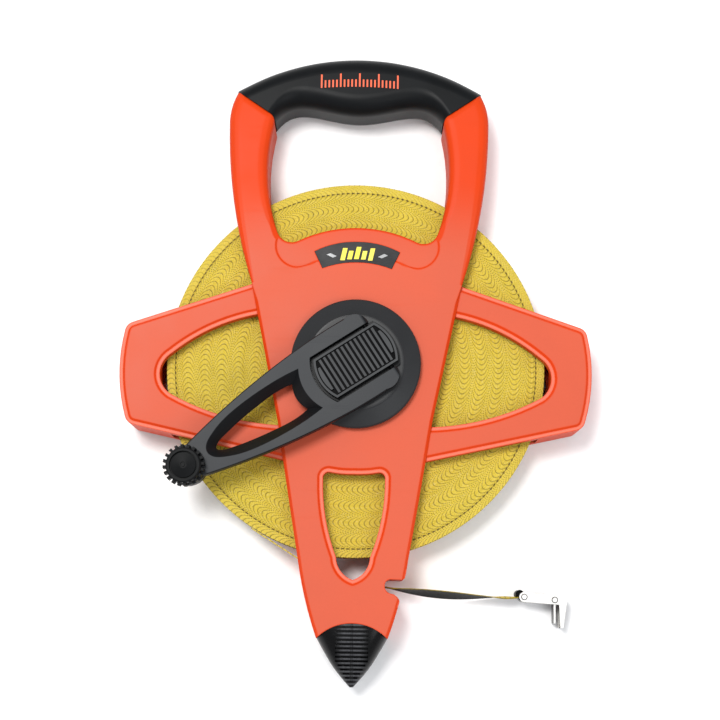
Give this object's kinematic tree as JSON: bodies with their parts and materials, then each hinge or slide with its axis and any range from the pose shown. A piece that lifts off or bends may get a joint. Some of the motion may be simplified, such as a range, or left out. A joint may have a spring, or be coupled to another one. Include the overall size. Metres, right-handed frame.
{
  "type": "surveyor tape reel",
  "caption": "Open-frame long tape reel with a carrying handle, ground spike, folding crank and a pack of yellow measuring tape that leaves through a notch to a folding end hook.",
  "frame": {"origin": "on the spool axis, in the plane of the back face, where the reel lies flat", "axes": "+Z along the spool axis towards the crank side, +Y towards the handle, +X to the right seen from the crank side"},
  "size_m": [0.2774, 0.3763, 0.0625],
  "materials": {
    "orange_plastic": "satin moulded",
    "grip_rubber": "satin",
    "boot_plastic": "gloss",
    "crank_plastic": "satin",
    "knob_plastic": "satin",
    "pad_plastic": "satin",
    "label_plastic": "matte",
    "yellow_print": "matte",
    "orange_print": "matte",
    "silver_print": "satin",
    "tape_yellow": "satin with printed marks",
    "tape_black": "satin",
    "steel": "zinc plated",
    "bright_steel": "nickel plated",
    "acetal": "matte",
    "core_plastic": "matte",
    "felt": "felt"
  },
  "bodies": {
    "frame": {"front_frame": "orange_plastic", "back_frame": "orange_plastic", "frame_screws": "steel", "grip": "grip_rubber", "grip_marks": "orange_print", "label_plate": "label_plastic", "label_marks": "yellow_print", "label_studs": "silver_print", "spike_boot": "boot_plastic", "spike_tang": "steel", "tang_pins": "steel", "front_bush": "acetal", "back_bush": "acetal", "back_cap": "crank_plastic", "friction_washer": "felt", "tape_lead": "tape_yellow", "guide_pin": "steel", "slot_wipers": "felt", "tape_tail": "tape_black", "tape_loop": "tape_black", "hook_body": "bright_steel", "hook_pins": "bright_steel"},
    "spool": {"spindle": "steel", "drum": "core_plastic", "tape_anchor": "steel", "tape_pack": "tape_yellow", "hub_disc": "crank_plastic", "drive_screw": "steel", "end_washer": "steel", "end_screw": "steel", "pivot_block": "crank_plastic", "ribbed_pad": "pad_plastic", "hinge_pin": "steel"},
    "crank": {"crank_arm": "crank_plastic", "knob_pin": "steel"},
    "knob": {"knob": "knob_plastic", "knob_cap": "knob_plastic"},
    "roller": {"guide_roller": "acetal"},
    "claw": {"hook_claw": "bright_steel"}
  },
  "joints": [
    {"name": "spool_spin", "type": "hinge", "parent": "frame", "child": "spool", "pos_m": [0, 0, 0.0185], "axis": [0, 0, 1], "continuous": true},
    {"name": "crank_fold", "type": "hinge", "parent": "spool", "child": "crank", "pos_m": [0.013, 0.00844, 0.05015], "axis": [-0.5446, 0.8387, 0], "range_deg": [0, 180]},
    {"name": "knob_spin", "type": "hinge", "parent": "crank", "child": "knob", "pos_m": [-0.09645, -0.06263, 0.056], "axis": [0, 0, 1], "continuous": true},
    {"name": "roller_spin", "type": "hinge", "parent": "frame", "child": "roller", "pos_m": [-0.01252, -0.12024, 0.0185], "axis": [0, 0, 1], "continuous": true},
    {"name": "claw_fold", "type": "hinge", "parent": "frame", "child": "claw", "pos_m": [0.1187, -0.1344, 0.007], "axis": [0, 0, -1], "range_deg": [0, 80]}
  ]
}
